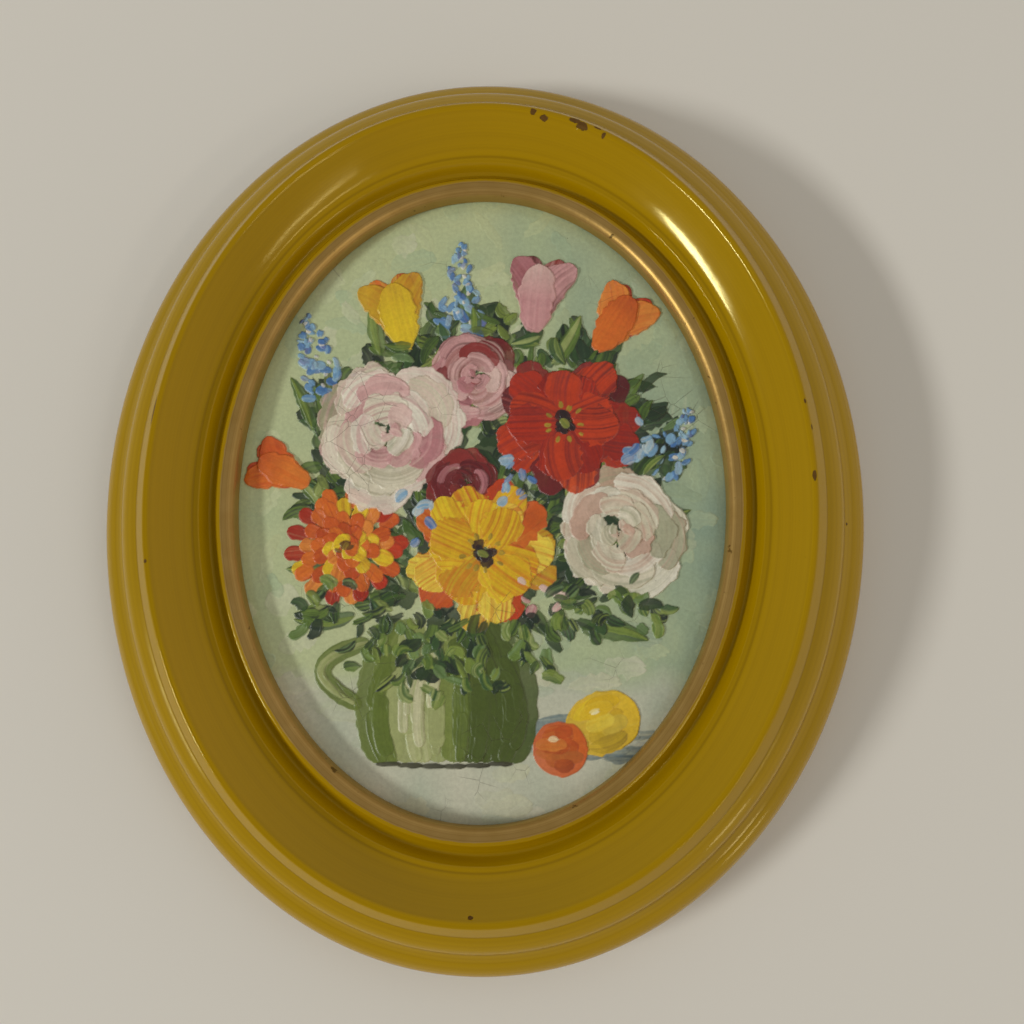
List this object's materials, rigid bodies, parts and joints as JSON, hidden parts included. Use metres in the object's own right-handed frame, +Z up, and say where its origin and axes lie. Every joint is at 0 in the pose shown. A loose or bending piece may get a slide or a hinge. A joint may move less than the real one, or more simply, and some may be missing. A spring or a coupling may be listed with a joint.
{
  "type": "framed oil painting",
  "caption": "Small oval painted still life on a board, in a glossy mustard-yellow moulded wooden frame with a gilt sight edge, hung from a sawtooth hanger.",
  "frame": {"origin": "the middle notch of the sawtooth hanger, in the plane of the wall behind the frame", "axes": "+Z up as hung, along the oval's long axis; the picture faces -Y and the wall is on +Y; +X to the viewer's right"},
  "size_m": [0.1396, 0.0179, 0.166],
  "materials": {
    "lacquered_wood": "gloss mustard-yellow lacquer over wood, with a bronze-gold painted bead at the sight edge",
    "painted_board": "oil paint laid on thick with a knife over hardboard",
    "steel": "dull zinc-plated steel"
  },
  "bodies": {
    "root": {"moulding": "lacquered_wood", "painted_board": "painted_board", "brad_1": "steel", "brad_2": "steel", "brad_3": "steel", "brad_4": "steel", "hanger": "steel", "hanger_nail_1": "steel", "hanger_nail_2": "steel"}
  },
  "joints": []
}
